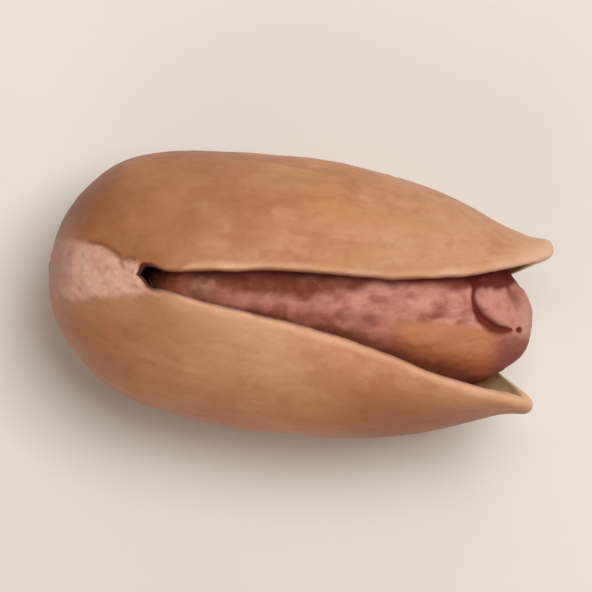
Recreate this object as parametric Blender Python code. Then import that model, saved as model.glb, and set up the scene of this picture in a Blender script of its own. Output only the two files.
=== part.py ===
"""A pistachio in its split shell.

The nut lies on the back seam of its shell with the split facing up. +X runs from the stem end to
the two beaks, +Y is across the nut and +Z is up. The origin is on the surface that the nut lies
on, under the middle of the nut. Sizes are in millimetres, and MM turns them into metres.
"""

import math

import bmesh
import bpy
import numpy as np
from mathutils import Matrix, Vector

MM = 0.001
COLLECTION = "pistachio"

# The shell as a whole.
LENGTH = 21.0
REST_CUT = 0.15
STEM_WALL = 1.6
BEAK_WALL = 0.5
END_WALL_FADE = 6
WALL = 0.95
LIP = 0.15

# Where the split begins on the front, which faces up, and on the back seam.
FRONT_HINGE = 3.65
BACK_HINGE = 12.9
NOTCH_REACH = 2.5
NOTCH_STEEP = 6

# The stem scar: a low tongue from the stem end up to the start of the split, a little askew.
SCAR_RISE = 0.12
SCAR_LEVEL = 1.2
SCAR_MIDDLE = ((0.0, -0.2), (2.0, -0.2), (3.0, -0.25), (3.8, -0.42), (4.3, -0.6))
SCAR_HALF_WIDTH = ((0.0, 1.3), (1.2, 1.35), (2.1, 1.3), (3.0, 0.95), (3.8, 0.5), (4.4, 0.0))
SCAR_EDGE = 0.3
SCAR_FOOT = 4.6

# Lines of the shell as (distance from the stem end, value) stations.
FRONT_LINE = (
    (0.0, 6.2), (0.4, 8.4), (1.2, 9.65), (2.5, 10.5), (4.2, 11.05), (7.0, 11.4), (11.0, 11.35),
    (14.0, 11.0), (16.5, 10.4), (18.6, 9.7), (20.0, 9.1), (20.7, 8.7), (LENGTH, 8.2),
)
BACK_LINE = (
    (0.0, 6.2), (0.4, 4.0), (1.2, 2.7), (2.5, 1.6), (4.2, 0.8), (7.0, 0.18), (10.3, 0.0),
    (13.0, 0.24), (15.0, 0.9), (17.0, 2.15), (18.6, 3.75), (20.0, 6.0), (20.7, 7.4), (LENGTH, 8.2),
)
VALVES = {
    1: {
        "half_width": (
            (0.0, 0.0), (0.4, 2.3), (1.2, 3.6), (2.5, 4.75), (4.2, 5.38), (7.0, 5.75),
            (10.5, 5.85), (14.0, 5.6), (16.5, 5.05), (18.6, 4.22), (19.9, 3.8), (20.75, 3.72),
            (LENGTH, 3.28),
        ),
        "front_gap": (
            (FRONT_HINGE, 0.0), (3.9, 0.38), (4.4, 0.48), (6.2, 0.62), (9.0, 1.0), (12.0, 1.2),
            (14.5, 1.36), (17.0, 1.82), (19.0, 2.36), (20.3, 2.8), (LENGTH, 3.28),
        ),
    },
    -1: {
        "half_width": (
            (0.0, 0.0), (0.4, 2.1), (1.2, 3.3), (2.5, 4.45), (4.2, 5.25), (7.0, 5.8),
            (10.5, 5.85), (14.0, 5.62), (16.5, 5.05), (18.6, 4.25), (19.7, 3.82), (20.75, 3.66),
            (LENGTH, 3.32),
        ),
        "front_gap": (
            (FRONT_HINGE, 0.0), (3.9, 0.38), (4.4, 0.5), (6.0, 0.76), (9.0, 1.04), (12.0, 1.48),
            (14.5, 2.04), (17.0, 2.66), (19.0, 2.95), (20.4, 3.08), (LENGTH, 3.32),
        ),
    },
}
BACK_GAP = (
    (BACK_HINGE, 0.0), (15.0, 0.45), (17.0, 1.1), (19.0, 1.96), (20.2, 2.6), (LENGTH, 3.3),
)

# Lines of the kernel, as stations along the shell.
KERNEL_START = 3.9
KERNEL_END = 20.6
KERNEL_HALF_WIDTH = (
    (KERNEL_START, 0.0), (4.4, 1.4), (5.5, 2.55), (7.5, 3.6), (10.0, 4.15), (12.5, 4.2),
    (15.0, 3.85), (17.0, 3.3), (18.7, 2.6), (19.8, 1.72), (20.4, 0.95), (KERNEL_END, 0.0),
)
KERNEL_TOP = (
    (KERNEL_START, 6.0), (4.4, 8.5), (5.5, 9.5), (7.5, 9.8), (10.0, 9.9), (12.5, 9.9),
    (15.0, 9.75), (17.0, 9.4), (18.7, 8.8), (19.8, 8.2), (20.4, 7.7), (KERNEL_END, 7.1),
)
KERNEL_BOTTOM = (
    (KERNEL_START, 6.0), (4.4, 4.5), (5.5, 3.1), (7.5, 1.85), (10.0, 1.25), (12.5, 1.35),
    (15.0, 2.4), (17.0, 3.75), (18.7, 5.3), (19.8, 6.1), (20.4, 6.55), (KERNEL_END, 7.1),
)

# Mesh detail: faces along the nut and round it.
SHELL_RINGS, SHELL_SEGMENTS = 40, 48
KERNEL_RINGS, KERNEL_SEGMENTS = 30, 32
ON_SEAM = 1e-5
SHARP_ANGLE = math.radians(50)


def sweep_angle(x, start, end):
    """0 at the start of a length and pi at its end, so that a line drawn over it ends round."""
    share = np.clip((x - start) / (end - start), 0, 1)
    return np.arccos(1 - 2 * share)


def fair_line(stations, start, end):
    """A smooth line through stations, as a function of the distance from the stem end."""
    distances, values = np.array(stations).T
    knots = sweep_angle(distances, start, end)
    slopes = np.gradient(values, knots)

    def value_at(x):
        angle = max(sweep_angle(x, start, end), knots[0])
        i = int(np.clip(np.searchsorted(knots, angle) - 1, 0, len(knots) - 2))
        span = knots[i + 1] - knots[i]
        s = (angle - knots[i]) / span
        rise = s * s * (3 - 2 * s)
        leave = s * (1 - s) ** 2 * span * slopes[i]
        arrive = s * s * (s - 1) * span * slopes[i + 1]
        return float(values[i] + rise * (values[i + 1] - values[i]) + leave + arrive)

    return value_at


def drawn_in(half, wall):
    """Half a section's size with the wall taken off, which still closes where the section does."""
    return half * half / (half + wall) if wall else half


def ease(value):
    """0 up to 0, 1 from 1 on, and smooth between them."""
    value = min(max(value, 0.0), 1.0)
    return value * value * (3 - 2 * value)


def scar_rise(x, y, z):
    """Height of the stem scar over the shell at a point of its outer skin."""
    middle = np.interp(x, *np.array(SCAR_MIDDLE).T)
    half_width = np.interp(x, *np.array(SCAR_HALF_WIDTH).T)
    across = ease((half_width - abs(y - middle)) / SCAR_EDGE)
    return SCAR_RISE * ease(x / SCAR_LEVEL) * across * ease((z - SCAR_FOOT) / SCAR_EDGE)


class ShellLines:
    """The lines of the shell, and the point of its outer or inner skin in a direction."""

    def __init__(self):
        self.front = fair_line(FRONT_LINE, 0, LENGTH)
        self.back = fair_line(BACK_LINE, 0, LENGTH)
        self.back_gap = fair_line(BACK_GAP, 0, LENGTH)
        self.half_width = {}
        self.front_gap = {}
        for side, lines in VALVES.items():
            self.half_width[side] = fair_line(lines["half_width"], 0, LENGTH)
            self.front_gap[side] = fair_line(lines["front_gap"], 0, LENGTH)

    def skin(self, direction, side, inner):
        """The point that a direction on a unit sphere, poles on X, takes on one valve's skin."""
        share = (1 + direction.x) / 2
        x = LENGTH * share
        around = math.atan2(abs(direction.y), direction.z)
        wall, lip = (WALL, LIP) if inner else (0, 0)

        front, back = self.front(x), self.back(x)
        half_height = drawn_in((front - back) / 2, wall)
        z = (front + back) / 2 + half_height * math.cos(around)

        to_back = math.sin(around / 2) ** 2
        gap = self.front_gap[side](x) * (1 - to_back) + self.back_gap(x) * to_back
        bulge = drawn_in(self.half_width[side](x) - gap, wall) * math.sin(around)
        opening = drawn_in(gap, lip) if gap > 0 else 0
        off_rim = 1 - math.sin(around)
        near_notch = ease(1 - (x - FRONT_HINGE) / NOTCH_REACH)
        steep = 1 + (NOTCH_STEEP - 1) * near_notch
        y = side * (bulge + opening * (1 + off_rim ** steep - off_rim))

        if inner:
            x += STEM_WALL * (1 - share) ** END_WALL_FADE - BEAK_WALL * share ** END_WALL_FADE
            return Vector((x, y, z))
        return Vector((x, y, z)) + direction * scar_rise(x, y, z)


def unit_sphere(rings, segments):
    """A round mesh with its poles at the two ends of the nut."""
    mesh = bmesh.new()
    poles_on_x = Matrix.Rotation(math.radians(90), 4, "Y")
    bmesh.ops.create_uvsphere(
        mesh, u_segments=segments, v_segments=rings, radius=1, matrix=poles_on_x
    )
    return mesh


def is_split(edge):
    """Whether an edge of the sphere lies on the open part of either seam."""
    first, second = (vert.co for vert in edge.verts)
    hinge = FRONT_HINGE if first.z + second.z > 0 else BACK_HINGE
    nearest = LENGTH * (1 + min(first.x, second.x)) / 2
    return max(abs(first.y), abs(second.y)) < ON_SEAM and nearest >= hinge


def side_of(vert):
    """1 or -1 for the valve that a vertex belongs to."""
    return 1 if sum(face.calc_center_median().y for face in vert.link_faces) > 0 else -1


def cut_rest(mesh):
    """A small flat spot under the nut, which it rests on."""
    cut = bmesh.ops.bisect_plane(
        mesh,
        geom=mesh.verts[:] + mesh.edges[:] + mesh.faces[:],
        plane_co=(0, 0, REST_CUT),
        plane_no=(0, 0, 1),
        clear_inner=True,
    )
    rim = [item for item in cut["geom_cut"] if isinstance(item, bmesh.types.BMEdge)]
    bmesh.ops.contextual_create(mesh, geom=rim)


def place(mesh):
    """Moves a mesh from the stem end's frame to the nut's, and into metres."""
    bmesh.ops.translate(mesh, verts=mesh.verts, vec=(-LENGTH / 2, 0, -REST_CUT))
    bmesh.ops.scale(mesh, verts=mesh.verts, vec=(MM, MM, MM))


def shell_mesh():
    """Two valves joined at the stem end: an outer and an inner skin, bridged round the split."""
    lines = ShellLines()
    mesh = unit_sphere(SHELL_RINGS, SHELL_SEGMENTS)
    bmesh.ops.split_edges(mesh, edges=[edge for edge in mesh.edges if is_split(edge)])
    outer = [(vert, side_of(vert), vert.co.copy()) for vert in mesh.verts]
    copied = bmesh.ops.duplicate(mesh, geom=mesh.verts[:] + mesh.edges[:] + mesh.faces[:])
    for vert, side, direction in outer:
        vert.co = lines.skin(direction, side, inner=False)
        copied["vert_map"][vert].co = lines.skin(direction, side, inner=True)

    inner_faces = [item for item in copied["geom"] if isinstance(item, bmesh.types.BMFace)]
    bmesh.ops.reverse_faces(mesh, faces=inner_faces)
    bmesh.ops.bridge_loops(mesh, edges=[edge for edge in mesh.edges if edge.is_boundary])
    cut_rest(mesh)
    bmesh.ops.recalc_face_normals(mesh, faces=mesh.faces)
    place(mesh)
    return mesh


def kernel_mesh():
    """The seed: one rounded body that is widest in the middle and tapers to the beaks."""
    half_width = fair_line(KERNEL_HALF_WIDTH, KERNEL_START, KERNEL_END)
    top = fair_line(KERNEL_TOP, KERNEL_START, KERNEL_END)
    bottom = fair_line(KERNEL_BOTTOM, KERNEL_START, KERNEL_END)
    mesh = unit_sphere(KERNEL_RINGS, KERNEL_SEGMENTS)
    for vert in mesh.verts:
        x = KERNEL_START + (KERNEL_END - KERNEL_START) * (1 + vert.co.x) / 2
        around = math.atan2(vert.co.y, vert.co.z)
        middle, half_height = (top(x) + bottom(x)) / 2, (top(x) - bottom(x)) / 2
        vert.co = Vector((
            x,
            half_width(x) * math.sin(around),
            middle + half_height * math.cos(around),
        ))
    place(mesh)
    return mesh


def material(name, colour, roughness):
    """A plain non-metal finish."""
    made = bpy.data.materials.new(name)
    made.use_nodes = True
    shader = made.node_tree.nodes["Principled BSDF"]
    shader.inputs["Base Color"].default_value = (*colour, 1)
    shader.inputs["Roughness"].default_value = roughness
    shader.inputs["Metallic"].default_value = 0
    made.diffuse_color = (*colour, 1)
    return made


def add_part(collection, name, built, finish):
    """Turns a built mesh into a named object of the collection."""
    data = bpy.data.meshes.new(name)
    built.to_mesh(data)
    built.free()
    data.shade_smooth()
    data.set_sharp_from_angle(angle=SHARP_ANGLE)
    data.materials.append(finish)
    collection.objects.link(bpy.data.objects.new(name, data))


def main():
    for old in list(bpy.data.objects):
        bpy.data.objects.remove(old)
    collection = bpy.data.collections.new(COLLECTION)
    bpy.context.scene.collection.children.link(collection)

    shell_finish = material("pistachio_shell", (0.62, 0.42, 0.25), 0.5)
    kernel_finish = material("kernel_skin", (0.34, 0.15, 0.14), 0.65)
    add_part(collection, "shell", shell_mesh(), shell_finish)
    add_part(collection, "kernel", kernel_mesh(), kernel_finish)


main()
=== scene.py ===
"""The looks of a pistachio in its split shell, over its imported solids.

The nut lies on the back seam of its shell, +X from the stem end to the beaks and +Z up. The forms
are worked out in millimetres from the stem end, and seat() moves them into the nut's own frame.
The finishes place their patches in millimetres in that frame, and their colours are linear.
"""

import math
from types import SimpleNamespace

import bmesh
import bpy
import numpy as np
from mathutils import Matrix, Vector, noise
from mathutils.kdtree import KDTree


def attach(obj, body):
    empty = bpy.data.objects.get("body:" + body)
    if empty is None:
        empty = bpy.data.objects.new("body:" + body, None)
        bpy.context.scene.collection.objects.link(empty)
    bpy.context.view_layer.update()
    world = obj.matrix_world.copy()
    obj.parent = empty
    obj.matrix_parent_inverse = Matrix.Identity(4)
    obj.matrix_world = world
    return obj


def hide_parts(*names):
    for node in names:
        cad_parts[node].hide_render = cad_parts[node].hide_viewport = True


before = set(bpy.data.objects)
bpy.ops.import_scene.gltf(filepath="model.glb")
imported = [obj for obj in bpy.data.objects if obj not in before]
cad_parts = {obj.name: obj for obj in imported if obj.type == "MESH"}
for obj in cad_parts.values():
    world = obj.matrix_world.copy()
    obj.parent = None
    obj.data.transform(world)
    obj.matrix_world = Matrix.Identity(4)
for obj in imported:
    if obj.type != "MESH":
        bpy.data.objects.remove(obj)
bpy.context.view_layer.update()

MM = 0.001

# The shell as a whole.
LENGTH = 21.0
REST_CUT = 0.15
STEM_WALL = 1.6
BEAK_WALL = 0.5
WALL_FADE = 10
WALL = 0.95
LIP = 0.15
LIP_ROUND = 0.14
LIP_SQUARE = 0.6
KEEL_RISE = 0.05
KEEL_HALF_WIDTH = 0.7
SEAM_DEPTH = 0.07
SEAM_HALF_WIDTH = 0.14

# Where the split begins on the front, which faces up, and on the back seam.
FRONT_HINGE = 3.65
BACK_HINGE = 12.9

# The stem scar: a low tongue from the stem end up to the start of the split, a little askew.
SCAR_RISE = 0.12
SCAR_MIDDLE = (
    (0.0, -0.2), (1.7, -0.12), (2.4, -0.12), (3.04, -0.25), (3.4, -0.23), (3.76, -0.22), (4.1, -0.4),
    (4.8, -0.75),
)
SCAR_HALF_WIDTH = (
    (0.0, 1.5), (1.7, 1.38), (2.4, 1.24), (3.04, 0.95), (3.4, 0.89), (3.76, 0.82), (4.1, 0.55),
    (4.9, 0.0),
)
SCAR_EDGE = 0.4
SCAR_COLOUR_EDGE = 0.8
SCAR_FOOT = 6.0
FISSURES = (
    ((1.6, 1.16), (2.2, 1.08), (2.7, 0.92), (3.0, 0.66), (3.12, 0.4), (3.3, 0.16), (3.7, 0.08)),
    ((3.1, 0.55), (3.38, 0.68), (3.66, 0.62)),
)
FISSURE_HALF_WIDTH = 0.12
FISSURE_DEPTH = 0.08

# Pits of the scar, as (distance from the stem end, place across, radius).
PITS = ((2.58, 0.14, 0.2), (3.15, -0.67, 0.17), (3.8, -0.48, 0.2), (1.5, -0.9, 0.13), (0.9, 0.5, 0.15))

# The small pit where the stalk was, in its ring, with cracks that run out from it.
STEM = (-0.2, 5.5)
STEM_RADIUS = 0.55
STEM_DEPTH = 0.14
STEM_RING = 0.04
STEM_REACH = 1
STEM_FAR = 9
RAY_DEPTH = 0.03

# Lines of the shell as (distance from the stem end, value) stations.
FRONT_LINE = (
    (0.0, 6.2), (0.4, 8.4), (1.2, 9.65), (2.5, 10.5), (4.2, 11.05), (7.0, 11.4), (11.0, 11.35),
    (14.0, 11.0), (16.5, 10.4), (18.6, 9.7), (20.0, 9.1), (20.7, 8.7), (LENGTH, 8.2),
)
BACK_LINE = (
    (0.0, 6.2), (0.4, 4.0), (1.2, 2.7), (2.5, 1.6), (4.2, 0.8), (7.0, 0.18), (10.3, 0.0),
    (13.0, 0.24), (15.0, 0.9), (17.0, 2.15), (18.6, 3.75), (20.0, 6.0), (20.7, 7.4), (LENGTH, 8.2),
)
# The valve on the +Y side is 1 and the one on the -Y side -1.
VALVES = {
    1: {
        "half_width": (
            (0.0, 0.0), (0.4, 2.3), (1.2, 3.6), (2.5, 4.75), (4.2, 5.38), (7.0, 5.75),
            (10.5, 5.85), (14.0, 5.6), (16.5, 5.05), (18.6, 4.22), (19.9, 3.8), (20.75, 3.72),
            (LENGTH, 3.28),
        ),
        "front_gap": (
            (FRONT_HINGE, 0.0), (3.8, 0.4), (4.25, 0.64), (4.8, 0.54), (6.2, 0.68), (9.0, 1.1),
            (12.0, 1.3), (14.5, 1.46), (17.0, 1.9), (19.0, 2.44), (20.3, 2.86), (LENGTH, 3.28),
        ),
    },
    -1: {
        "half_width": (
            (0.0, 0.0), (0.4, 2.1), (1.2, 3.3), (2.5, 4.45), (4.2, 5.25), (7.0, 5.8),
            (10.5, 5.85), (14.0, 5.62), (16.5, 5.05), (18.6, 4.25), (19.7, 3.82), (20.75, 3.66),
            (LENGTH, 3.32),
        ),
        "front_gap": (
            (FRONT_HINGE, 0.0), (3.85, 0.2), (4.2, 0.6), (4.9, 0.68), (6.0, 0.86), (9.0, 1.14),
            (12.0, 1.57), (14.5, 2.14), (17.0, 2.74), (19.0, 3.02), (20.4, 3.14), (LENGTH, 3.32),
        ),
    },
}
# Near the start of the split the lips stay full, so that the notch is blunt.
NOTCH_REACH = 2.5
NOTCH_STEEP = 6
BACK_GAP = (
    (BACK_HINGE, 0.0), (15.0, 0.5), (17.0, 1.12), (19.0, 2.0), (20.2, 2.65), (LENGTH, 3.3),
)

# Lines of the kernel, as stations along the shell.
KERNEL_START = 3.9
KERNEL_END = 20.6
KERNEL_HALF_WIDTH = (
    (KERNEL_START, 0.0), (4.4, 1.4), (5.5, 2.55), (7.5, 3.6), (10.0, 4.15), (12.5, 4.2),
    (15.0, 3.85), (17.0, 3.3), (18.7, 2.6), (19.8, 1.72), (20.4, 0.95), (KERNEL_END, 0.0),
)
KERNEL_TOP = (
    (KERNEL_START, 6.0), (4.4, 8.5), (5.5, 9.6), (7.5, 9.85), (10.0, 9.9), (12.5, 9.9),
    (15.0, 9.75), (17.0, 9.4), (18.7, 8.8), (19.8, 8.2), (20.4, 7.7), (KERNEL_END, 7.1),
)
KERNEL_BOTTOM = (
    (KERNEL_START, 6.0), (4.4, 4.5), (5.5, 3.1), (7.5, 1.85), (10.0, 1.25), (12.5, 1.35),
    (15.0, 2.4), (17.0, 3.75), (18.7, 5.3), (19.8, 6.1), (20.4, 6.55), (KERNEL_END, 7.1),
)

# Marks on the kernel, seen from above: the hooked fold at its tip with the flap of skin beside it,
# a pit beyond the fold, the long valley that runs up to it, and the nub at the stem end.
FOLD = (
    (17.8, 2.2), (17.86, 1.4), (17.9, 0.8), (18.14, 0.4), (18.6, 0.0), (19.15, -0.26), (19.7, -0.24),
)
FOLD_WIDTHS = ((17.8, 0.13), (18.1, 0.21), (18.6, 0.34), (19.1, 0.31), (19.5, 0.21), (19.8, 0.1))
FOLD_FULL_WIDTH = 0.34
FOLD_FADE_WIDTH = 0.2
FOLD_SLOPE = 1.6
FOLD_STEEP = 1.4
FOLD_DEPTH = 0.22
FLAP_RISE = 0.17
FLAP_WRINKLES = 0.05
FLAP_REACH = 2.3
CRIMP = ((19.0, 2.1), (19.5, 1.35), (19.9, 0.8), (20.2, 0.35))
CRIMP_HALF_WIDTH = 0.34
CRIMP_DEPTH = 0.09
PIT = (20.05, -0.2)
PIT_RADIUS = 0.24
PIT_DEPTH = 0.1
VALLEY = ((12.5, -0.8), (14.0, -0.62), (16.0, -0.35), (18.1, 0.0))
VALLEY_HALF_WIDTH = 0.45
VALLEY_DEPTH = 0.09
NUB = (6.55, -0.17)
NUB_SIZE = (0.85, 0.7)
NUB_RISE = 0.2

# The painted shadow along the two lips, over a darker skin under the upper one, as the inner edges of
# its bands.
DARK_SKIN_AND_SHADOW_ABOVE = (
    (6.0, 0.1), (8.0, -0.1), (10.0, -0.02), (11.7, 0.2), (12.8, 0.42), (13.4, 0.85), (15.5, 1.1),
    (17.0, 1.22), (18.0, 1.28), (19.0, 1.44), (19.5, 1.7), (20.2, 2.4),
)
DARK_SKIN_AND_SHADOW_ABOVE_EDGE = 0.5
PAINTED_SHADE_BELOW = (
    (6.0, -0.74), (8.3, -0.82), (10.4, -0.95), (12.9, -1.22), (15.4, -1.8), (17.0, -2.15),
    (19.0, -2.45), (20.5, -2.6),
)
PAINTED_SHADE_BELOW_EDGE = ((7.0, 0.25), (10.0, 0.4), (16.0, 0.9))

# Random relief, as layers of (height, scale, seed, octaves).
LIP_WANDER = ((0.07, 0.45, 3.1, 2), (0.015, 1.9, 7.7, 2))
SHELL_SWELL = ((0.07, 0.24, 1.3, 2), (0.02, 0.9, 7.3, 2))
INSIDE_SWELL = ((0.03, 0.8, 2.2, 2),)
LIP_ROUGHNESS = ((0.012, 3.1, 3.7, 3),)
SCAR_ROUGHNESS = ((0.018, 4.5, 5.1, 2),)
KERNEL_SWELL = ((0.12, 0.35, 3.0, 2),)
KERNEL_BUMPS = ((0.03, 1.5, 6.0, 3), (0.012, 4.5, 8.0, 2))

# Relief that runs with the shell or the kernel, from its broad forms to its fine ones.
FLUTE_HEIGHT = 0.1
LINE_HEIGHT = 0.02
FIBRE_HEIGHT = 0.011
POCK_DEPTH = 0.03
CREASE_DEPTH = 0.08
WRINKLE_DEPTH = 0.035

# Mesh detail: faces along the nut, round it, and across the rounded lip of the split.
SHELL_RINGS, SHELL_SEGMENTS = 176, 208
LIP_STEPS = 8
KERNEL_RINGS, KERNEL_SEGMENTS = 200, 208
FINE_STEM_END = 4.6
FINE_TIP_START = 0.66
FINE_SPREAD = 1.2
ON_SEAM = 1e-5

SHELL_PAINT = SimpleNamespace(
    tan=(0.57, 0.275, 0.125),
    rosy_tan=(0.57, 0.25, 0.135),
    ochre=(0.53, 0.29, 0.112),
    bloom=(0.67, 0.39, 0.24),
    pale_tan=(0.66, 0.375, 0.225),
    smudge=(0.44, 0.17, 0.073),
    brown=(0.32, 0.125, 0.05),
    belly=(0.72, 0.44, 0.27),
    # Painted warm shade on the lower valve's outer flank.
    lower_flank_shade=(0.48, 0.175, 0.06),
    deep_lower_flank_shade=(0.36, 0.125, 0.048),
    beak=(0.74, 0.47, 0.32),
    lip_glow=(0.72, 0.42, 0.27),
    lip=(0.80, 0.475, 0.31),
    sunlit_lip=(0.86, 0.60, 0.45),
    rim_shadow=(0.22, 0.075, 0.035),
    inside=(0.60, 0.43, 0.22),
    # Painted shade on the lip and inside where the split starts at the notch.
    notch_shade=(0.15, 0.028, 0.010),
    scar_rose=(0.64, 0.37, 0.27),
    scar_pale=(0.74, 0.47, 0.36),
    scar_fleck=(0.40, 0.19, 0.13),
    # Mauve at the stem end of the scar, with painted shade where it turns away.
    scar_end_mauve_and_shade=(0.42, 0.22, 0.17),
    beside_scar=(0.60, 0.34, 0.21),
    # Painted shade on the upper valve just above the scar.
    shade_above_scar=(0.20, 0.07, 0.03),
    fissure=(0.22, 0.08, 0.045),
)
KERNEL_PAINT = SimpleNamespace(
    mauve=(0.55, 0.225, 0.165),
    dull_mauve=(0.47, 0.165, 0.12),
    wine=(0.30, 0.085, 0.058),
    # Painted highlight on the ridges of the skin.
    ridge_highlight=(0.72, 0.38, 0.29),
    pink=(0.74, 0.38, 0.30),
    # Brown patches and painted shade along the valley and the crimp.
    valley_brown_and_shade=(0.27, 0.10, 0.055),
    orange=(0.57, 0.24, 0.115),
    # Painted shade on the kernel's lower side.
    lower_side_shade=(0.31, 0.075, 0.03),
    dark_tip=(0.26, 0.085, 0.06),
    # Painted highlight along the kernel's outline at its tip.
    tip_edge_highlight=(0.66, 0.38, 0.31),
    flap=(0.63, 0.325, 0.26),
    stem_half=(0.36, 0.135, 0.07),
    # Darker skin with painted shadow under the upper lip, deepest towards the stem end.
    dark_skin_and_shadow_above=(0.21, 0.044, 0.020),
    deepest_skin_and_shadow_above=(0.13, 0.012, 0.005),
    # Painted light on the kernel's stem end, where it lies in shade, and painted shade at its very end.
    start=(0.55, 0.20, 0.10),
    shade_at_kernel_start=(0.36, 0.105, 0.048),
    # Painted shade under the lower lip.
    painted_shade_below=(0.15, 0.04, 0.018),
    nub=(0.44, 0.22, 0.16),
    # Dark skin and painted shade in the fold and its pit.
    fold=(0.15, 0.018, 0.007),
)
FLOOR_COLOUR = (0.86, 0.85, 0.84)

# The studio: each soft box by its place along, across and above the nut, its size, its power and
# its colour, in metres and watts, and the light from all round.
FLOOR_SIZE = 2
SOFT_BOXES = {
    "key": ((0.08, 0.075, 0.31), 0.16, 0.76, (1, 0.96, 0.90)),
    "fill": ((-0.16, -0.26, 0.22), 0.34, 0.26, (1, 0.82, 0.66)),
    "back": ((0.05, 0.32, 0.16), 0.30, 0.16, (1, 0.92, 0.84)),
}
ROOM_COLOUR = (1, 0.82, 0.66, 1)
ROOM_STRENGTH = 0.2

# The view: straight down, with the nut turned as in the photograph.
NUT_TURN = math.radians(7.5)
LENS = 400
CAMERA_HEIGHT = 0.285


def ease(value):
    """0 up to 0, 1 from 1 on, and smooth between them."""
    value = np.clip(value, 0, 1)
    return value * value * (3 - 2 * value)


def between(value, low, high):
    """0 at low and 1 at high, smooth between them and held beyond, also where low is above high."""
    return ease((value - low) / (high - low))


def crest(away, half_width):
    """1 on a line, smoothly down to 0 at half its width, by the distance from the line."""
    return ease(1 - np.abs(away) / half_width)


def sweep_angle(x, start, end):
    """0 at the start of a length and pi at its end, so that a line drawn over it ends round."""
    return np.arccos(1 - 2 * np.clip((x - start) / (end - start), 0, 1))


def smooth_through(knots, values):
    """A function that runs smoothly through values at knots, and keeps the first value before them."""
    slopes = np.gradient(values, knots)

    def value_at(where):
        where = np.maximum(where, knots[0])
        left = np.clip(np.searchsorted(knots, where) - 1, 0, len(knots) - 2)
        right = left + 1
        span = knots[right] - knots[left]
        share = (where - knots[left]) / span
        rise = share * share * (3 - 2 * share)
        leave = share * (1 - share) ** 2 * span * slopes[left]
        arrive = share * share * (share - 1) * span * slopes[right]
        return values[left] + rise * (values[right] - values[left]) + leave + arrive

    return value_at


def fair_line(stations, start, end):
    """A smooth line through stations, as a function of distances from the stem end."""
    distances, values = np.array(stations).T
    line = smooth_through(sweep_angle(distances, start, end), values)
    return lambda x: line(sweep_angle(x, start, end))


def plain_line(stations, x):
    """The values at x of a line that runs straight from station to station."""
    return np.interp(x, *np.array(stations).T)


def distance_to_line(x, y, stations):
    """Distance from each point, seen from above, to a smooth line, below 0 on its right."""
    knots = np.arange(len(stations), dtype=float)
    steps = np.linspace(0, knots[-1], 60)
    xs, ys = (smooth_through(knots, values)(steps) for values in np.array(stations).T)
    nearest, side = np.full(len(x), np.inf), np.ones(len(x))
    for x0, y0, x1, y1 in zip(xs, ys, xs[1:], ys[1:]):
        run_x, run_y = x1 - x0, y1 - y0
        share = np.clip(((x - x0) * run_x + (y - y0) * run_y) / (run_x ** 2 + run_y ** 2), 0, 1)
        distance = np.hypot(x - x0 - share * run_x, y - y0 - share * run_y)
        left = run_x * (y - y0) - run_y * (x - x0) > 0
        closer = distance < nearest
        nearest[closer], side[closer] = distance[closer], np.where(left, 1, -1)[closer]
    return nearest * side


def mound(x, y, centre, size):
    """1 at a centre, smoothly down to 0 at its size."""
    across = np.hypot((x - centre[0]) / size[0], (y - centre[1]) / size[1])
    return ease(1 - across)


def drawn_in(half, wall):
    """Half a section's size with the wall taken off, which still closes where the section does."""
    return half * half / np.maximum(half + wall, ON_SEAM)


def grain(points, seed, octaves=3):
    """Smooth random heights, about -1 to 1, at an array of points."""
    shift = Vector((seed, 2.3 * seed, 5.7 * seed))
    return np.array([noise.fractal(Vector(p) + shift, 0.6, 2.0, octaves) for p in points])


def layered(points, layers):
    """The sum of layers of random relief at an array of points."""
    return sum(height * grain(points * scale, seed, octaves) for height, scale, seed, octaves in layers)


def ridged(points, seed):
    """Random heights with narrow crests, 0 to 1."""
    return np.clip(1 - 2.2 * np.abs(grain(points, seed, 2)), 0, 1)


def seat(points):
    """Points in millimetres from the stem end, moved into the nut's frame and into metres."""
    return (points + np.array([-LENGTH / 2, 0, -REST_CUT])) * MM


def read(mesh, name, size=1):
    """A vertex attribute as an array."""
    values = np.zeros(len(mesh.vertices) * size, np.float32)
    key = "value" if size == 1 else "vector"
    mesh.attributes[name].data.foreach_get(key, values)
    return values.astype(float) if size == 1 else values.reshape(-1, size).astype(float)


def write(mesh, name, values):
    """Keeps an array as a vertex attribute."""
    kind, key = ("FLOAT", "value") if values.ndim == 1 else ("FLOAT_VECTOR", "vector")
    attribute = mesh.attributes.new(name, kind, "POINT")
    attribute.data.foreach_set(key, values.astype(np.float32).ravel())


def places(mesh):
    """Where a mesh's vertices are, as an array."""
    values = np.zeros(len(mesh.vertices) * 3, np.float32)
    mesh.vertices.foreach_get("co", values)
    return values.reshape(-1, 3).astype(float)


def normals(mesh):
    """Which way a mesh's vertices face, as an array."""
    values = np.zeros(len(mesh.vertices) * 3, np.float32)
    mesh.vertex_normals.foreach_get("vector", values)
    return values.reshape(-1, 3).astype(float)


def move(mesh, points):
    """Puts a mesh's vertices at an array of points."""
    mesh.vertices.foreach_set("co", points.astype(np.float32).ravel())
    mesh.update()


def round_blank(name, rings, segments):
    """A round blank with its poles at the two ends of the nut, left in edit mode, all selected."""
    bpy.ops.object.select_all(action="DESELECT")
    bpy.ops.mesh.primitive_uv_sphere_add(
        segments=segments, ring_count=rings, radius=1, rotation=(0, math.radians(90), 0)
    )
    piece = bpy.context.object
    piece.name = piece.data.name = name
    bpy.ops.object.transform_apply(location=False, rotation=True, scale=False)
    bpy.ops.object.mode_set(mode="EDIT")
    return piece


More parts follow.
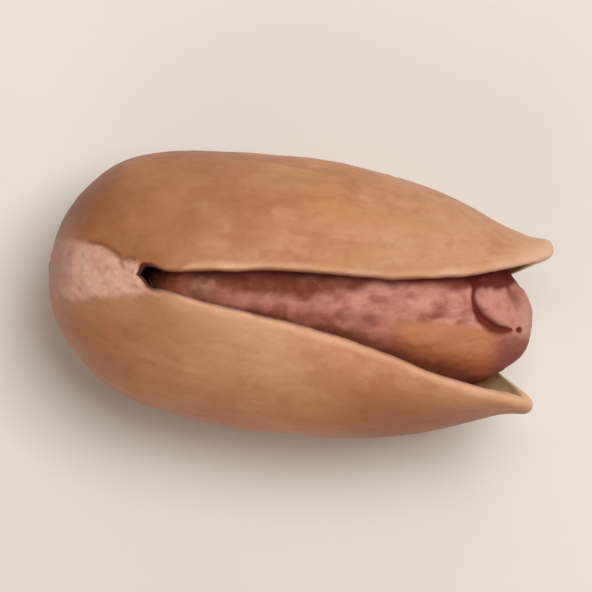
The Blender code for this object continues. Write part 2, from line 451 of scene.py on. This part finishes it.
def pick(piece, kind, wanted):
    """In edit mode, selects just the edges or faces that a test wants."""
    bpy.ops.mesh.select_mode(type=kind)
    bpy.ops.mesh.select_all(action="DESELECT")
    mesh = bmesh.from_edit_mesh(piece.data)
    for item in mesh.edges if kind == "EDGE" else mesh.faces:
        if wanted(item):
            item.select_set(True)
    bmesh.update_edit_mesh(piece.data)


def refine(piece, low, high):
    """Doubles the blank's faces on its upper side between two places along it."""
    def in_reach(face):
        middle = face.calc_center_median()
        return low < middle.x < high and middle.z > FINE_SPREAD * abs(middle.y)

    pick(piece, "FACE", in_reach)
    bpy.ops.mesh.subdivide(number_cuts=1)
    mesh = bmesh.from_edit_mesh(piece.data)
    for vert in mesh.verts:
        vert.co.normalize()
    bmesh.update_edit_mesh(piece.data)


def is_split(edge):
    """Whether an edge of the blank lies on the open part of either seam."""
    first, second = (vert.co for vert in edge.verts)
    hinge = FRONT_HINGE if first.z + second.z > 0 else BACK_HINGE
    nearest = LENGTH * (1 + min(first.x, second.x)) / 2
    return max(abs(first.y), abs(second.y)) < ON_SEAM and nearest >= hinge


class ShellForm:
    """Where a point of the shell lies, from its direction on the blank, its valve and its depth."""

    def __init__(self, direction, side, depth):
        self.side, self.depth = side, depth
        self.x = LENGTH * (1 + direction[:, 0]) / 2
        self.around = np.arctan2(np.abs(direction[:, 1]), direction[:, 2])
        self.front = fair_line(FRONT_LINE, 0, LENGTH)(self.x)
        self.back = fair_line(BACK_LINE, 0, LENGTH)(self.x)
        self.half_width = self.by_valve("half_width")
        self.gap = self.gap_between_valves()

    def by_valve(self, line):
        upper, lower = (fair_line(VALVES[side][line], 0, LENGTH)(self.x) for side in (1, -1))
        return np.where(self.side > 0, upper, lower)

    def gap_between_valves(self):
        """Half the gap, from the front split round to the back one, with a slightly uneven edge."""
        to_back = np.sin(self.around / 2) ** 2
        back_gap = fair_line(BACK_GAP, 0, LENGTH)(self.x)
        gap = self.by_valve("front_gap") * (1 - to_back) + back_gap * to_back
        along = np.column_stack((self.x, 4 * self.side, np.zeros_like(self.x)))
        steady = between(gap, 0.3, 0.9) * between(self.x, LENGTH, LENGTH - 1.5)
        return np.maximum(gap + layered(along, LIP_WANDER) * steady, 0) * (gap > 0)

    def skin(self, inner):
        """The outer skin, or the inner one, which lies the wall's thickness within it."""
        wall, lip = (WALL, LIP) if inner else (0, 0)
        half_height = drawn_in((self.front - self.back) / 2, wall)
        z = (self.front + self.back) / 2 + half_height * np.cos(self.around)
        gap = drawn_in(self.gap, lip)
        near_notch = between(self.x, FRONT_HINGE + NOTCH_REACH, FRONT_HINGE) * (self.gap > 0)
        steep = 1 + (NOTCH_STEEP - 1) * near_notch
        bulge = drawn_in(self.half_width - self.gap, wall) * np.sin(self.around)
        off_rim = 1 - np.sin(self.around)
        y = self.side * (gap + bulge + gap * (off_rim ** steep - off_rim))
        x = self.x.copy()
        if inner:
            share = self.x / LENGTH
            x += STEM_WALL * (1 - share) ** WALL_FADE - BEAK_WALL * share ** WALL_FADE
        return np.column_stack((x, y, z))

    def points(self):
        """Depth 0 is the outer skin, 1 the inner one, and between them the lip's half round."""
        outer, inner = self.skin(False), self.skin(True)
        turn = np.pi * self.depth
        across, out = np.cos(turn), np.sin(turn)
        across = np.sign(across) * np.abs(across) ** LIP_SQUARE
        out = np.abs(out) ** LIP_SQUARE * (self.depth > 0) * (self.depth < 1)
        middle, half = (outer + inner) / 2, (outer - inner) / 2
        points = middle + half * across[:, None]
        points[:, 1] -= self.side * out * np.minimum(LIP_ROUND, 0.45 * self.gap)
        return points

    def lengthwise(self, along, across):
        """Coordinates that run with the shell's own lines, which meet at its two ends."""
        return np.column_stack((
            along * self.x,
            across * np.cos(self.around),
            across * self.side * np.sin(self.around),
        ))


def shell_sheet():
    """The blank split along both seams, doubled into an outer and an inner skin, with lips."""
    piece = round_blank("pistachio_shell", SHELL_RINGS, SHELL_SEGMENTS)
    refine(piece, -1, 2 * FINE_STEM_END / LENGTH - 1)
    pick(piece, "EDGE", is_split)
    bpy.ops.mesh.edge_split(type="EDGE")

    mesh = bmesh.from_edit_mesh(piece.data)
    directions = mesh.verts.layers.float_vector.new("direction")
    sides = mesh.verts.layers.float.new("side")
    mesh.verts.layers.float.new("depth")
    for vert in mesh.verts:
        vert[directions] = vert.co
        across = sum(face.calc_center_median().y for face in vert.link_faces)
        vert[sides] = 1 if across > 0 else -1
    bmesh.update_edit_mesh(piece.data)

    def set_depth(value):
        """Keeps a depth in the wall on the vertices that are selected."""
        mesh = bmesh.from_edit_mesh(piece.data)
        depth = mesh.verts.layers.float["depth"]
        for vert in mesh.verts:
            if vert.select:
                vert[depth] = value
        bmesh.update_edit_mesh(piece.data)

    bpy.ops.mesh.select_all(action="SELECT")
    bpy.ops.mesh.duplicate()
    bpy.ops.mesh.flip_normals()
    set_depth(1)

    mesh = bmesh.from_edit_mesh(piece.data)
    depth = mesh.verts.layers.float["depth"]
    pick(piece, "EDGE", lambda edge: edge.is_boundary and edge.verts[0][depth] == 0)
    for step in range(1, LIP_STEPS + 1):
        bpy.ops.mesh.extrude_edges_move()
        set_depth(step / (LIP_STEPS + 1))
    bpy.ops.object.mode_set(mode="OBJECT")
    return piece


def form_of(piece):
    mesh = piece.data
    return ShellForm(read(mesh, "direction", 3), read(mesh, "side"), read(mesh, "depth"))


def close_lips(piece):
    """Joins the lips to the inner skin, which makes the shell one closed wall."""
    bpy.ops.object.mode_set(mode="EDIT")
    pick(piece, "EDGE", lambda edge: edge.is_boundary)
    bpy.ops.mesh.bridge_edge_loops()
    bpy.ops.mesh.select_all(action="SELECT")
    bpy.ops.mesh.normals_make_consistent(inside=False)
    bpy.ops.object.mode_set(mode="OBJECT")


def scar_mask(points, edge):
    """1 on the stem scar, 0 off it, with an uneven border."""
    x, y, z = points.T
    off_middle = y - plain_line(SCAR_MIDDLE, x)
    below_foot = np.maximum(SCAR_FOOT - z, 0)
    inside = plain_line(SCAR_HALF_WIDTH, x) - np.hypot(off_middle, below_foot)
    uneven = (0.08 + 0.3 * between(x, 1.2, 0.2)) * grain(points * 0.7, 4.9, 3)
    return ease(0.5 + (inside + uneven - SCAR_EDGE / 2) / edge)


def from_stem(points):
    """Distance from the middle of the small pit where the stalk was, in its own radii."""
    x, y, z = points.T
    away = np.hypot(y - STEM[0], z - STEM[1]) / STEM_RADIUS
    return np.where(x < STEM_REACH, away + 0.35 * grain(points * 1.3, 6.6, 2), np.inf)


def stem_rays(points, stem):
    """1 in the short cracks that run out from the pit of the stalk."""
    angle = np.arctan2(points[:, 2] - STEM[1], points[:, 1] - STEM[0])
    stem = np.minimum(stem, STEM_FAR)
    ring = np.column_stack((1.6 * np.cos(angle), 1.6 * np.sin(angle), 0.4 * stem))
    return ridged(ring, 13.3) * ease(1.2 - np.abs(stem - 1.3))


def scar_relief(points, stem, rays):
    """Height of the scar's rough tongue, which starts level with the stem end."""
    up_from_stem = between(points[:, 0], 0, 1.2)
    rise = SCAR_RISE * up_from_stem + (0.03 + 0.03 * up_from_stem) * grain(points * 1.1, 9.1, 3)
    ring = STEM_RING * crest(stem - 1.4, 0.8) - STEM_DEPTH * ease(1.15 - stem)
    return rise + ring - RAY_DEPTH * rays + layered(points, SCAR_ROUGHNESS)


def scar_marks(points, stem, rays):
    """1 in the fissures and pits of the scar."""
    x, y, z = points.T
    marks = np.zeros(len(points))
    jog_x, jog_y = 0.07 * grain(points * 2.1, 2.9, 2), 0.07 * grain(points * 2.1, 8.3, 2)
    strength = ease(0.9 + 1.1 * grain(points * 1.4, 3.3, 2))
    for line in FISSURES:
        fissure = crest(distance_to_line(x + jog_x, y + jog_y, line), FISSURE_HALF_WIDTH)
        marks = np.maximum(marks, fissure * strength)
    for along, across, radius in PITS:
        marks = np.maximum(marks, 0.5 * mound(x, y, (along, across), (radius, radius)))
    return np.maximum(marks * (z > SCAR_FOOT), np.maximum(0.6 * ease(1.1 - stem), 0.35 * rays))


def seam_relief(x, y, z):
    """Height of the closed back seam: a low keel with a fine groove along its crest."""
    relief = KEEL_RISE * crest(y, KEEL_HALF_WIDTH) - SEAM_DEPTH * crest(y, SEAM_HALF_WIDTH)
    return relief * (x < BACK_HINGE) * (z < SCAR_FOOT)


def pock_mask(points):
    """1 in the small shallow pocks that are strewn over the shell."""
    return between(grain(points * 1.9, 12.1, 2), 0.42, 0.67)


def shell_relief(form, points, pocks):
    """Height of the outer skin over the fair form: swellings, flutes from the stem, fine lines."""
    wander = 0.3 * grain(points * 0.35, 15.2, 2)[:, None]
    near_stem = between(form.x, 11, 3)
    flutes = FLUTE_HEIGHT * near_stem * grain(form.lengthwise(0.07, 2.7) + wander, 4.4, 2)
    lines = LINE_HEIGHT * grain(form.lengthwise(0.2, 9) + wander, 6.5, 2)
    fibres = FIBRE_HEIGHT * grain(form.lengthwise(0.5, 26) + wander, 8.5, 2)
    off_ends = between(form.x, LENGTH, LENGTH - 5) * between(form.x, 0.6, 3.2)
    fine = (flutes + lines + fibres - POCK_DEPTH * pocks) * off_ends
    return layered(points, SHELL_SWELL) + fine + seam_relief(*points.T)


def lip_distance(points, depth):
    """How far each point is from the middle of the lip."""
    on_lip = points[np.abs(depth - 0.5) < 0.5 / (LIP_STEPS + 1)]
    tree = KDTree(len(on_lip))
    for i, point in enumerate(on_lip):
        tree.insert(point, i)
    tree.balance()
    return np.array([tree.find(point)[2] for point in points])


def make_shell():
    piece = shell_sheet()
    move(piece.data, form_of(piece).points())
    close_lips(piece)
    mesh = piece.data
    form = form_of(piece)
    points = form.points()
    move(mesh, points)

    outside = np.where(form.depth < 0.5, 1 - 2 * form.depth, 0)
    scar = scar_mask(points, SCAR_EDGE) * outside
    stem = from_stem(points)
    rays = stem_rays(points, stem)
    marks = scar_marks(points, stem, rays) * outside
    pocks = pock_mask(points) * outside
    relief = shell_relief(form, points, pocks) * outside * (1 - scar)
    relief += scar_relief(points, stem, rays) * scar - FISSURE_DEPTH * marks
    relief += layered(points, INSIDE_SWELL) * (form.depth == 1)
    relief += layered(points, LIP_ROUGHNESS) * (form.depth > 0) * (form.depth < 1)
    raised = points + normals(mesh) * relief[:, None]
    raised[:, 2] = np.maximum(raised[:, 2], REST_CUT)

    at_web = 0.7 * between(form.x, FRONT_HINGE + 2.7, FRONT_HINGE + 0.3)
    # Where shade is painted on the lip and inside at the notch.
    notch_shade = between(form.x, FRONT_HINGE + 1.3, FRONT_HINGE + 0.4) * between(form.depth, 0, 0.15)
    write(mesh, "lengthwise", form.lengthwise(1, 1))
    write(mesh, "scar", scar_mask(points, SCAR_COLOUR_EDGE) * outside)
    write(mesh, "notch_shade", notch_shade)
    write(mesh, "inside", form.depth)
    write(mesh, "marks", marks)
    write(mesh, "pocks", pocks)
    write(mesh, "lip", lip_distance(points, form.depth) + at_web)
    move(mesh, seat(raised))
    for spent in ("direction", "side", "depth"):
        mesh.attributes.remove(mesh.attributes[spent])
    return piece


class KernelForm:
    """Where a point of the kernel lies, from its direction on the blank."""

    def __init__(self, direction):
        self.x = KERNEL_START + (KERNEL_END - KERNEL_START) * (1 + direction[:, 0]) / 2
        self.around = np.arctan2(direction[:, 1], direction[:, 2])

    def line(self, stations):
        return fair_line(stations, KERNEL_START, KERNEL_END)(self.x)

    def points(self):
        top, bottom = self.line(KERNEL_TOP), self.line(KERNEL_BOTTOM)
        y = self.line(KERNEL_HALF_WIDTH) * np.sin(self.around)
        z = (top + bottom) / 2 + (top - bottom) / 2 * np.cos(self.around)
        return np.column_stack((self.x, y, z))

    def lengthwise(self, along, across):
        """Coordinates that run with the kernel's own lines, which meet at its two ends."""
        return np.column_stack((
            along * self.x,
            across * np.cos(self.around),
            across * np.sin(self.around),
        ))


def kernel_creases(form, points):
    """Depth of the narrow creases, which run lengthwise, and any way at the two ends."""
    from_start = between(form.x, KERNEL_START + 0.3, KERNEL_START + 1.8)
    off_poles = from_start * between(form.x, KERNEL_END - 0.6, KERNEL_END - 3.1)
    wander = 0.45 * np.column_stack([grain(points * 0.6, seed, 2) for seed in (21.3, 34.1, 47.9)])

    def creases(along, across, seed):
        ends = 0.3 * ridged(points * across * 0.4 + wander, seed)
        return ends + (ridged(form.lengthwise(along, across) + wander, seed) - ends) * off_poles

    return CREASE_DEPTH * creases(0.14, 1.6, 1.7) + WRINKLE_DEPTH * creases(0.4, 4.6, 4.1)


def kernel_marks(points):
    """The marks on the kernel's upper side, by name, each 0 to 1."""
    x, y, z = points.T
    jog = 0.22 * grain(points * 1.1, 11.0, 3)
    from_fold = distance_to_line(x, y, FOLD) + 0.2 * jog
    width = plain_line(FOLD_WIDTHS, x)
    reach = width * np.where(from_fold < 0, FOLD_SLOPE, 1)
    fold = np.clip(1 - np.abs(from_fold) / reach, 0, 1) ** FOLD_STEEP * ease(width / FOLD_FADE_WIDTH)
    flap = between(from_fold, 0, 0.4) * between(from_fold, FLAP_REACH, 0)
    pit_size = (PIT_RADIUS, 0.9 * PIT_RADIUS)
    soft = plain_line(PAINTED_SHADE_BELOW_EDGE, x)
    marks = {
        "fold": fold,
        "groove": fold * ease(width / FOLD_FULL_WIDTH),
        "flap": flap * between(x, 17.5, 18.0) * between(x, 20.1, 19.2),
        "crimp": crest(distance_to_line(x, y, CRIMP), CRIMP_HALF_WIDTH),
        "pit": mound(x + 0.4 * jog, y + 0.3 * jog, PIT, pit_size),
        "valley": crest(distance_to_line(x, y, VALLEY), VALLEY_HALF_WIDTH),
        "nub": mound(x + jog, y + 0.7 * jog, NUB, NUB_SIZE),
        # Painted shadow over darker skin under the upper lip.
        "above": ease(0.5 + (y + jog - plain_line(DARK_SKIN_AND_SHADOW_ABOVE, x)) / DARK_SKIN_AND_SHADOW_ABOVE_EDGE),
        # Painted shade under the lower lip.
        "below": ease(0.5 + (plain_line(PAINTED_SHADE_BELOW, x) - y - jog * soft) / soft),
    }
    upper = between(z, 6, 7.5)
    return SimpleNamespace(**{name: mark * upper for name, mark in marks.items()})


def make_kernel():
    piece = round_blank("kernel_in_skin", KERNEL_RINGS, KERNEL_SEGMENTS)
    refine(piece, FINE_TIP_START, 1)
    bpy.ops.object.mode_set(mode="OBJECT")
    mesh = piece.data
    form = KernelForm(places(mesh))
    points = form.points()
    move(mesh, points)

    x, y = points[:, 0], points[:, 1]
    marks = kernel_marks(points)
    calm = 1 - 0.7 * np.maximum(marks.flap, between(x, 15, 18) * between(y, 0.5, -1.0))
    fine = layered(points, KERNEL_BUMPS) - kernel_creases(form, points) * calm
    relief = layered(points, KERNEL_SWELL) + fine - VALLEY_DEPTH * marks.valley
    relief += FLAP_RISE * marks.flap + FLAP_WRINKLES * marks.flap * grain(points * 1.9, 9.9, 2)
    relief += NUB_RISE * marks.nub * (0.8 + 0.7 * grain(points * 1.6, 5.2, 2))
    relief -= CRIMP_DEPTH * marks.crimp + FOLD_DEPTH * marks.groove + PIT_DEPTH * marks.pit
    raised = points + normals(mesh) * relief[:, None]

    write(mesh, "lengthwise", form.lengthwise(1, 1))
    write(mesh, "relief", fine)
    # The bands of painted shade under the two lips.
    write(mesh, "above", marks.above)
    write(mesh, "below", marks.below)
    write(mesh, "fold", np.maximum(marks.fold, marks.pit))
    write(mesh, "flap", marks.flap)
    write(mesh, "valley", np.maximum(marks.valley, marks.crimp * 0.9))
    write(mesh, "nub", marks.nub)
    move(mesh, seat(raised))
    return piece


class Value:
    """A socket of a finish. Sums on it add Math nodes."""

    def __init__(self, finish, socket):
        self.finish, self.socket = finish, socket

    def math(self, operation, *values):
        return self.finish.node("Math", {"operation": operation}, values)

    def __add__(self, other):
        return self.math("ADD", self, other)

    def __sub__(self, other):
        return self.math("SUBTRACT", self, other)

    def __rsub__(self, other):
        return self.math("SUBTRACT", other, self)

    def __mul__(self, other):
        return self.math("MULTIPLY", self, other)

    __radd__, __rmul__ = __add__, __mul__

    def between(self, low, high):
        """0 at low, 1 at high, smooth and held there, also where low is above high."""
        settings = {"interpolation_type": "SMOOTHSTEP"}
        return self.finish.node("MapRange", settings, {"Value": self, "From Min": low, "From Max": high})


class Finish:
    """A Principled material that is built up from expressions."""

    def __init__(self, name, **fixed):
        self.material = bpy.data.materials.new(name)
        self.material.use_nodes = True
        self.tree = self.material.node_tree
        self.shader = self.tree.nodes["Principled BSDF"]
        for socket, value in fixed.items():
            self.shader.inputs[socket.replace("_", " ")].default_value = value

    def node(self, kind, settings=None, inputs=(), output=0):
        """Adds a node: its settings first, then the values or links of its sockets."""
        made = self.tree.nodes.new("ShaderNode" + kind)
        for name, value in (settings or {}).items():
            setattr(made, name, value)
        pairs = inputs.items() if isinstance(inputs, dict) else enumerate(inputs)
        for key, value in pairs:
            if isinstance(value, Value):
                self.tree.links.new(value.socket, made.inputs[key])
            else:
                made.inputs[key].default_value = value
        return Value(self, made.outputs[output])

    def place(self):
        """Object coordinates in millimetres."""
        metres = self.node("TexCoord", output="Object")
        return self.node("VectorMath", {"operation": "SCALE"}, {0: metres, "Scale": 1 / MM})

    def axis(self, vector, name):
        return self.node("SeparateXYZ", inputs=[vector], output=name)

    def kept(self, name, output="Fac"):
        """An attribute that the mesh keeps."""
        return self.node("Attribute", {"attribute_name": name}, output=output)

    def stretch(self, vector, along, across):
        scale = (along, across, across)
        return self.node("VectorMath", {"operation": "MULTIPLY"}, [vector, scale])

    def warped(self, vector, scale, amount):
        """The vector pushed about by noise, so that what is drawn on it wanders."""
        sockets = {"Vector": vector, "Scale": scale, "Detail": 2}
        push = self.node("TexNoise", inputs=sockets, output="Color")
        settings = {"operation": "MULTIPLY_ADD"}
        return self.node("VectorMath", settings, [push, (amount, amount, amount), vector])

    def noise(self, vector, scale, detail=3, roughness=0.55):
        sockets = {"Vector": vector, "Scale": scale, "Detail": detail, "Roughness": roughness}
        return self.node("TexNoise", inputs=sockets)

    def mix(self, mask, first, second, blend="MIX"):
        """The first colour where the mask is 0, the second where it is 1."""
        settings = {"data_type": "RGBA", "blend_type": blend}
        pairs = {0: mask, 6: self.colour(first), 7: self.colour(second)}
        return self.node("Mix", settings, pairs, output=2)

    def colour(self, value):
        return (*value, 1) if isinstance(value, tuple) and len(value) == 3 else value

    def coated(self, colour, *coats):
        """The colour under coats of paint, each a mask and the paint that shows where it is 1."""
        for mask, paint in coats:
            colour = self.mix(mask, colour, paint)
        return colour

    def shade(self, colour, amount):
        """The colour times a grey amount."""
        grey = self.node("CombineColor", inputs=[amount, amount, amount])
        return self.mix(1.0, colour, grey, "MULTIPLY")

    def bump(self, height, depth_mm):
        sockets = {"Height": height, "Distance": depth_mm * MM}
        return self.node("Bump", inputs=sockets)

    def into(self, socket, value):
        self.tree.links.new(value.socket, self.shader.inputs[socket])


def shell_finish():
    """Dry tan shell: warm and pinkish clouds, pale lips and inside, a rough pale stem scar, and painted
    shade on the lower flank, at the stem end and at the notch.
    """
    finish = Finish(
        "shell_wall", Subsurface_Weight=0.05, Subsurface_Scale=0.0005, Specular_IOR_Level=0.3,
        Sheen_Weight=0.06, Sheen_Roughness=0.5,
    )
    paint = SHELL_PAINT
    place = finish.place()
    x, y = (finish.axis(place, name) for name in "XY")
    wavy = finish.warped(place, 0.5, 1.6)
    lengthwise = finish.warped(finish.kept("lengthwise", "Vector"), 0.8, 0.12)
    clouds = finish.noise(place, 0.25)
    patches = finish.noise(finish.stretch(wavy, 0.6, 1.0), 0.6)
    smudges = finish.noise(finish.stretch(wavy, 0.55, 1.0), 0.75)
    bloom = finish.noise(finish.stretch(wavy, 0.7, 1.0), 0.85)
    streaks = finish.noise(finish.stretch(lengthwise, 0.16, 4.0), 1.0, 4)
    fibres = finish.noise(finish.stretch(lengthwise, 0.6, 20.0), 1.0)
    mottle = finish.noise(finish.stretch(wavy, 0.6, 1.0), 2.4)
    speckle = finish.noise(place, 7.0, 3, 0.6)

    belly_along = x.between(-7.5, -4.5) * x.between(2.0, -1.0)
    belly_across = y.between(-0.5, -1.8) * y.between(-4.6, -3.0)
    # Browner towards the stem end, most on the +Y valve: partly its colour, partly painted shade.
    stem_end_brown_and_shade = x.between(1.0, -8.5) * (0.45 + 0.55 * clouds.between(0.25, 0.6))
    wall = finish.coated(
        finish.mix(clouds.between(0.36, 0.62), paint.tan, paint.rosy_tan),
        (patches.between(0.5, 0.7) * 0.65, paint.ochre),
        (bloom.between(0.42, 0.70) * 0.5, paint.bloom),
        (x.between(0.5, 7.5) * 0.45, paint.pale_tan),
        (smudges.between(0.45, 0.7) * 0.55, paint.smudge),
        (streaks.between(0.54, 0.8) * 0.22, paint.brown),
        (belly_along * belly_across * 0.4, paint.belly),
        # Painted warm shade on the lower valve's outer flank.
        (y.between(-3.6, -5.6) * 0.45, paint.lower_flank_shade),
        (y.between(-2.6, -4.6) * x.between(0.5, 4.5) * 0.85, paint.deep_lower_flank_shade),
        (stem_end_brown_and_shade * (0.45 + 0.55 * y.between(-5.0, 1.5)), paint.brown),
        (finish.kept("pocks") * 0.2, paint.brown),
    )
    wall = finish.shade(wall, 0.81 + fibres * 0.14 + speckle * 0.12 + mottle * 0.12)

    lip = finish.kept("lip") + (patches - 0.5) * 0.3 + (speckle - 0.5) * 0.1
    inside = finish.kept("inside")
    notch_shade = finish.kept("notch_shade")
    glow = lip.between(1.3, 0.3) * y.between(0.5, -0.5) * x.between(1.0, -3.0)
    sunlit = lip.between(1.0, 0.3) * x.between(7.0, 10.0) * y.between(0.0, 1.0)
    rim_shadow = inside.between(0.35, 0.6) * inside.between(0.99, 0.9) * x.between(9.0, 7.0)
    with_lips = finish.coated(
        wall,
        (x.between(8.0, 10.2) * y.between(-5.0, 2.0) * 0.5, paint.beak),
        (glow * 0.45, paint.lip_glow),
        (lip.between(0.52, 0.22) * (0.6 + 0.4 * bloom.between(0.35, 0.6)), paint.lip),
        (sunlit * 0.45, paint.sunlit_lip),
        (rim_shadow * 0.8, paint.rim_shadow),
        (inside.between(0.55, 0.9), paint.inside),
        # Painted shade on the lip and inside at the notch.
        (notch_shade * 0.97, paint.notch_shade),
    )

    uneven = (speckle - 0.5) * 0.35 + (patches - 0.5) * 0.8
    scar = (finish.kept("scar") + uneven).between(0.1, 0.9)
    flecks = finish.noise(place, 2.3).between(0.6, 0.75)
    blotches = finish.noise(place, 1.6).between(0.35, 0.65)
    beside_scar = x.between(-5.5, -7.0) * y.between(-2.6, -1.4) * y.between(0.0, -1.0)
    scar_colour = finish.mix(blotches, paint.scar_rose, paint.scar_pale)
    scar_colour = finish.coated(
        finish.shade(scar_colour, 0.92 + speckle * 0.16),
        (flecks * 0.35, paint.scar_fleck),
        # Mauve at the stem end of the scar, with painted shade where it turns away.
        (x.between(-8.8, -10.3) * 0.6, paint.scar_end_mauve_and_shade),
    )
    colour = finish.coated(
        with_lips,
        (beside_scar * 0.4, paint.beside_scar),
        # Painted shade on the upper valve just above the scar.
        (x.between(-8.3, -10.0) * y.between(0.9, 1.7) * 0.35, paint.shade_above_scar),
        (scar * 0.94, scar_colour),
        (finish.kept("marks") * 0.75, paint.fissure),
    )

    dull = notch_shade.math("MAXIMUM", notch_shade, rim_shadow)
    finish.into("Base Color", colour)
    finish.into("Roughness", 0.44 + 0.2 * patches + 0.08 * speckle + 0.22 * scar + 0.4 * dull)
    finish.into("Normal", finish.bump(fibres * 0.5 + speckle * 0.7 + scar * flecks * -1.2, 0.022))
    return finish.material


def kernel_finish():
    """The kernel's papery skin in mauve and wine red, with painted highlights on its ridges and painted
    shade in its creases, its fold and under its lips.
    """
    finish = Finish(
        "kernel_skin", Subsurface_Weight=0.08, Subsurface_Scale=0.0005, Specular_IOR_Level=0.22,
    )
    paint = KERNEL_PAINT
    place = finish.place()
    x, y, z = (finish.axis(place, name) for name in "XYZ")
    wavy = finish.warped(place, 0.9, 1.0)
    lengthwise = finish.warped(finish.kept("lengthwise", "Vector"), 1.0, 0.15)
    clouds = finish.noise(place, 0.4)
    blotches = finish.noise(finish.stretch(wavy, 0.7, 1.0), 1.1, 4, 0.6)
    mottle = finish.noise(finish.stretch(place, 0.7, 1.0), 1.6, 4)
    dust = finish.noise(place, 5.0, 4, 0.65)
    strands = finish.noise(finish.stretch(lengthwise, 0.3, 8.0), 1.0, 4)
    strands = strands + (finish.noise(place, 2.2, 4) - strands) * x.between(6.6, 8.8)

    relief = finish.kept("relief")
    pink = x.between(-7.0, 3.5) * y.between(-0.8, -0.2) * (0.15 + 0.85 * mottle.between(0.34, 0.64))
    skin = finish.coated(
        finish.mix(clouds.between(0.35, 0.65), paint.mauve, paint.dull_mauve),
        (blotches.between(0.48, 0.68) * 0.6, paint.wine),
        # Painted highlight on the ridges of the skin, and painted shade in its creases.
        (relief.between(-0.01, 0.03) * dust.between(0.25, 0.7) * 0.65, paint.ridge_highlight),
        (relief.between(-0.02, -0.09) * 0.75, paint.wine),
        (strands.between(0.52, 0.75) * 0.45, paint.wine),
        (pink * 0.7, paint.pink),
    )

    valley = finish.kept("valley")
    flap = finish.kept("flap")
    under = y.between(-0.1, -0.7) * x.between(3.0, 5.5) * x.between(9.4, 8.0)
    tip = finish.coated(
        skin,
        # Brown patches and painted shade along the valley and the crimp.
        (valley * mottle.between(0.66, 0.38) * 0.8, paint.valley_brown_and_shade),
        (under * clouds.between(0.2, 0.5) * 0.9, paint.orange),
        # Painted shade on the kernel's lower side, towards the lower lip.
        (y.between(-1.0, -2.1) * 0.8, paint.lower_side_shade),
        (z.between(8.6, 6.2) * 0.85, paint.wine),
        (x.between(8.0, 9.2) * y.between(-0.1, -0.8) * 0.75, paint.dark_tip),
        # Painted highlight along the kernel's outline at its tip.
        (x.between(9.2, 9.7) * y.between(-0.8, 0.0) * 0.6, paint.tip_edge_highlight),
        (flap * (0.3 + 0.7 * mottle.between(0.32, 0.58)) * 0.8, paint.flap),
        (valley * flap.between(0.02, 0.3) * 0.5, paint.valley_brown_and_shade),
    )

    above = finish.kept("above")
    nub = finish.kept("nub").between(0.05, 0.5) * (0.35 + 0.65 * dust.between(0.35, 0.6))
    fold = finish.kept("fold")
    colour = finish.coated(
        tip,
        (x.between(-1.5, -5.0) * 0.6, paint.stem_half),
        # Painted shadow over darker skin under the upper lip, deepest towards the stem end.
        (above * (0.75 + 0.25 * blotches.between(0.35, 0.6)), paint.dark_skin_and_shadow_above),
        (above * x.between(5.5, 7.5) * 0.9, paint.deepest_skin_and_shadow_above),
        # Painted light on the kernel's stem end in the dark of the notch, then painted shade at its very
        # end.
        (x.between(-4.2, -5.0) * 0.7, paint.start),
        (x.between(-4.7, -5.3) * 0.75, paint.shade_at_kernel_start),
        # Painted shade under the lower lip.
        (finish.kept("below") * 0.95, paint.painted_shade_below),
        (nub * 0.8, paint.nub),
        # Dark skin and painted shade in the fold and its pit.
        (fold.between(0.0, 0.6) * 0.95, paint.fold),
    )

    finish.into("Base Color", colour)
    finish.into("Roughness", 0.46 + 0.24 * dust + 0.3 * fold)
    finish.into("Normal", finish.bump(strands * 0.5 + dust * 0.7, 0.04))
    return finish.material


def floor_finish():
    finish = Finish("pale_floor", Roughness=0.9)
    drift = finish.noise(finish.place(), 0.05, 2)
    finish.into("Base Color", finish.shade(FLOOR_COLOUR, 0.98 + 0.04 * drift))
    return finish.material


def dress(piece, node, material):
    """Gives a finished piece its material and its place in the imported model."""
    piece.data.materials.clear()
    piece.data.materials.append(material)
    piece.data.shade_smooth()
    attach(piece, "root")
    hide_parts(node)


def add_floor():
    bpy.ops.object.select_all(action="DESELECT")
    bpy.ops.mesh.primitive_plane_add(size=FLOOR_SIZE)
    floor = bpy.context.object
    floor.name = "floor"
    floor.data.materials.append(floor_finish())


def add_lights():
    """Square soft boxes that face the nut, and a faint light from all round."""
    turn = Matrix.Rotation(NUT_TURN, 3, "Z")
    for name, (along_nut, size, power, colour) in SOFT_BOXES.items():
        position = turn @ Vector(along_nut)
        data = bpy.data.lights.new(name, "AREA")
        data.size, data.energy, data.color = size, power, colour
        light = bpy.data.objects.new(name, data)
        light.location = position
        light.rotation_euler = (-position).to_track_quat("-Z", "Y").to_euler()
        bpy.context.scene.collection.objects.link(light)
    world = bpy.data.worlds.new("studio")
    world.use_nodes = True
    world.node_tree.nodes["Background"].inputs["Color"].default_value = ROOM_COLOUR
    world.node_tree.nodes["Background"].inputs["Strength"].default_value = ROOM_STRENGTH
    bpy.context.scene.world = world


def add_camera():
    data = bpy.data.cameras.new("camera")
    data.lens = LENS
    data.clip_start = 0.01
    data.clip_end = 10
    camera = bpy.data.objects.new("camera", data)
    camera.location = (0, 0, CAMERA_HEIGHT)
    camera.rotation_euler = (0, 0, NUT_TURN)
    bpy.context.scene.collection.objects.link(camera)
    bpy.context.scene.camera = camera


dress(make_shell(), "shell", shell_finish())
dress(make_kernel(), "kernel", kernel_finish())
add_floor()
add_lights()
add_camera()
bpy.context.scene.view_settings.view_transform = "Standard"
